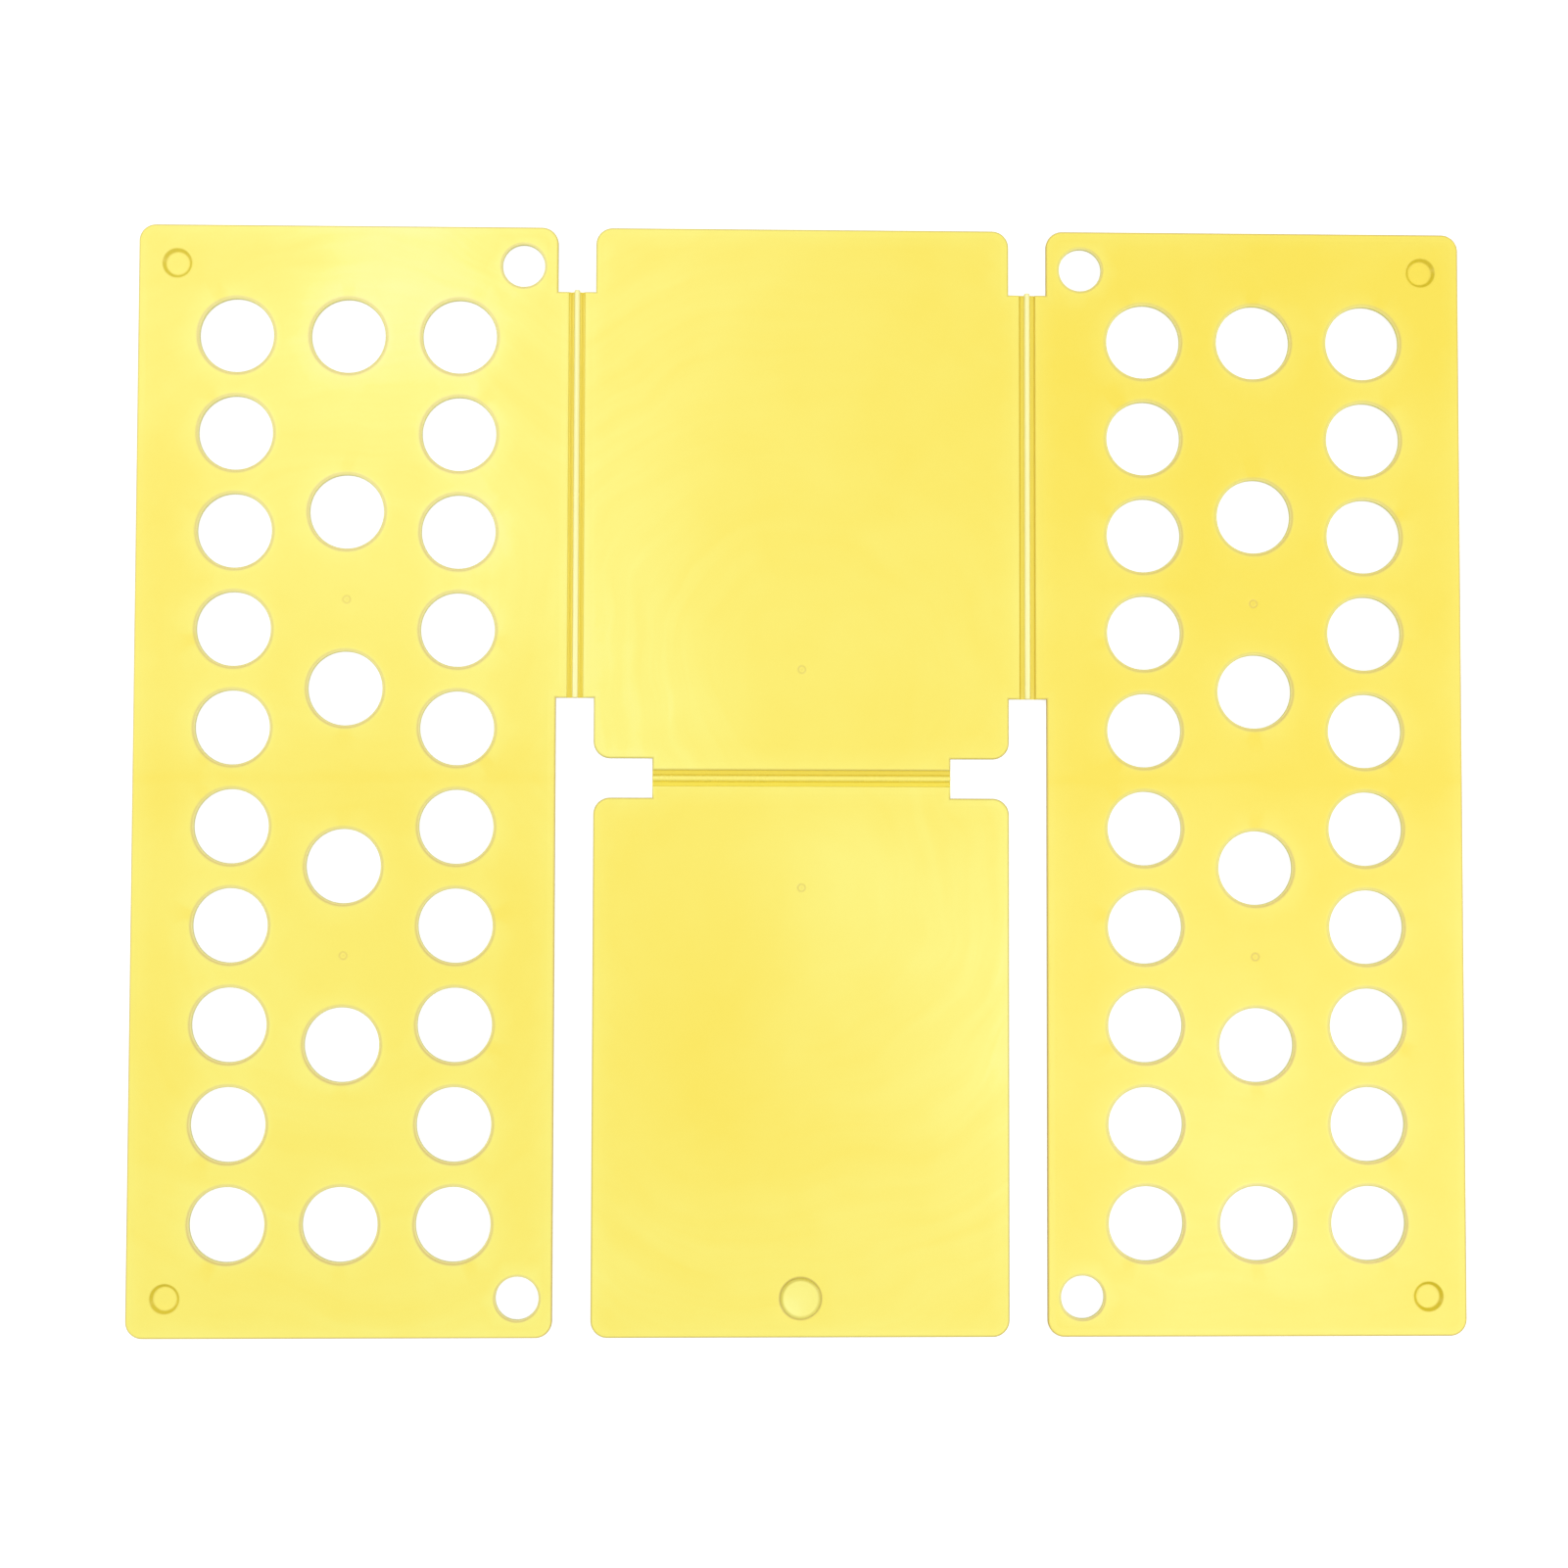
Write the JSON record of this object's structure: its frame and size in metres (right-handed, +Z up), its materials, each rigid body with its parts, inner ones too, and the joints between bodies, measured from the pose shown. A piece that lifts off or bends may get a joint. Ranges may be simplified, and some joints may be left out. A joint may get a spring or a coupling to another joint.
{
  "type": "shirt folding board",
  "caption": "Flat plastic board with an upper and a lower middle panel and perforated side wings on film hinges, for folding shirts to one size.",
  "frame": {"origin": "under the centre of the board, in the plane of the peg tips that it rests on", "axes": "+X to the right wing, +Y to the top edge with the side hinges' end, +Z up out of the working face that garments lie on"},
  "size_m": [0.48, 0.4, 0.0036],
  "materials": {
    "panel_plastic": "yellow moulded polypropylene, semi-gloss, fine even grain",
    "hinge_bar_plastic": "the same yellow polypropylene, polished round bar that catches the light",
    "web_plastic": "the same yellow polypropylene as a thin flexible web, deeper in tone"
  },
  "bodies": {
    "upper_panel": {"upper_panel": "panel_plastic", "left_inner_web": "web_plastic", "right_inner_web": "web_plastic", "middle_upper_web": "web_plastic"},
    "left_bar": {"left_hinge_bar": "hinge_bar_plastic"},
    "left_wing": {"left_wing": "panel_plastic", "left_outer_web": "web_plastic", "left_wing_pegs": "panel_plastic"},
    "right_bar": {"right_hinge_bar": "hinge_bar_plastic"},
    "right_wing": {"right_wing": "panel_plastic", "right_outer_web": "web_plastic", "right_wing_pegs": "panel_plastic"},
    "middle_bar": {"middle_hinge_bar": "hinge_bar_plastic"},
    "lower_panel": {"lower_panel": "panel_plastic", "middle_lower_web": "web_plastic", "thumb_disc": "panel_plastic"}
  },
  "joints": [
    {"name": "left_bar_fold", "type": "hinge", "parent": "upper_panel", "child": "left_bar", "pos_m": [-0.0799, 0.1027, 0.0024], "axis": [0, 1, 0], "range_deg": [0, 90], "deforming": ["left_inner_web"]},
    {"name": "left_wing_fold", "type": "hinge", "parent": "left_bar", "child": "left_wing", "pos_m": [-0.0838, 0.1027, 0.0024], "axis": [0, 1, 0], "range_deg": [0, 90], "deforming": ["left_outer_web"]},
    {"name": "right_bar_fold", "type": "hinge", "parent": "upper_panel", "child": "right_bar", "pos_m": [0.07905, 0.1027, 0.0024], "axis": [0, -1, 0], "range_deg": [0, 90], "deforming": ["right_inner_web"]},
    {"name": "right_wing_fold", "type": "hinge", "parent": "right_bar", "child": "right_wing", "pos_m": [0.08465, 0.1027, 0.0024], "axis": [0, -1, 0], "range_deg": [0, 90], "deforming": ["right_outer_web"]},
    {"name": "middle_bar_fold", "type": "hinge", "parent": "upper_panel", "child": "middle_bar", "pos_m": [0, 0.0011, 0.0024], "axis": [-1, 0, 0], "range_deg": [0, 90], "deforming": ["middle_upper_web"]},
    {"name": "lower_panel_fold", "type": "hinge", "parent": "middle_bar", "child": "lower_panel", "pos_m": [0, -0.0011, 0.0024], "axis": [-1, 0, 0], "range_deg": [0, 90], "deforming": ["middle_lower_web"]}
  ],
  "couplings": [
    {"joint": "left_bar_fold", "follows": "left_wing_fold", "ratio": 1},
    {"joint": "right_bar_fold", "follows": "right_wing_fold", "ratio": 1},
    {"joint": "middle_bar_fold", "follows": "lower_panel_fold", "ratio": 1}
  ]
}
